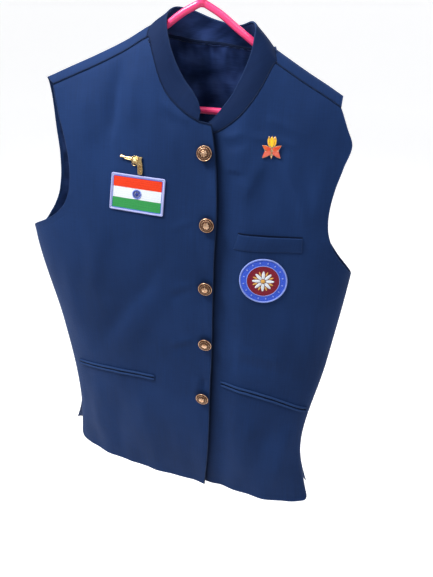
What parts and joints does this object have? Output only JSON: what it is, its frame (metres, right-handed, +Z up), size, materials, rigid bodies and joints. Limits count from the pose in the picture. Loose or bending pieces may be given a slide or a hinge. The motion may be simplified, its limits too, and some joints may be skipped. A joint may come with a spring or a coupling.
{
  "type": "sleeveless band-collar half coat on a tubular plastic hanger",
  "caption": "Sleeveless hip-length jacket with a band collar, overlapping buttoned front, breast welt, jetted pockets, patches and pins, hung on a tubular hanger.",
  "frame": {"origin": "inside top of the hanger's hook, where the rail carries it", "axes": "+Z up, +X to the wearer's left along the hanger, +Y to the coat's back"},
  "size_m": [0.5104, 0.1496, 0.8814],
  "materials": {
    "navy_cloth": "matte woven suiting",
    "navy_trim": "matte woven suiting",
    "satin_lining": "satin",
    "button_metal": "copper-toned, satin",
    "pin_brass": "aged",
    "pin_enamel": "gloss enamel",
    "flag_thread": "embroidered",
    "patch_thread": "embroidered",
    "pink_plastic": "gloss"
  },
  "bodies": {
    "root": {"front_over": "navy_cloth", "front_under": "navy_cloth", "back": "navy_cloth", "collar": "navy_cloth", "back_lining": "satin_lining", "breast_welt": "navy_trim", "jet_left_upper": "navy_trim", "jet_left_lower": "navy_trim", "jet_right_upper": "navy_trim", "jet_right_lower": "navy_trim", "flag_patch": "flag_thread", "round_patch": "patch_thread", "button_1": "button_metal", "button_2": "button_metal", "button_3": "button_metal", "button_4": "button_metal", "button_5": "button_metal", "revolver_pin": "pin_brass", "flower_pin": "pin_enamel", "hanger": "pink_plastic"}
  },
  "joints": []
}
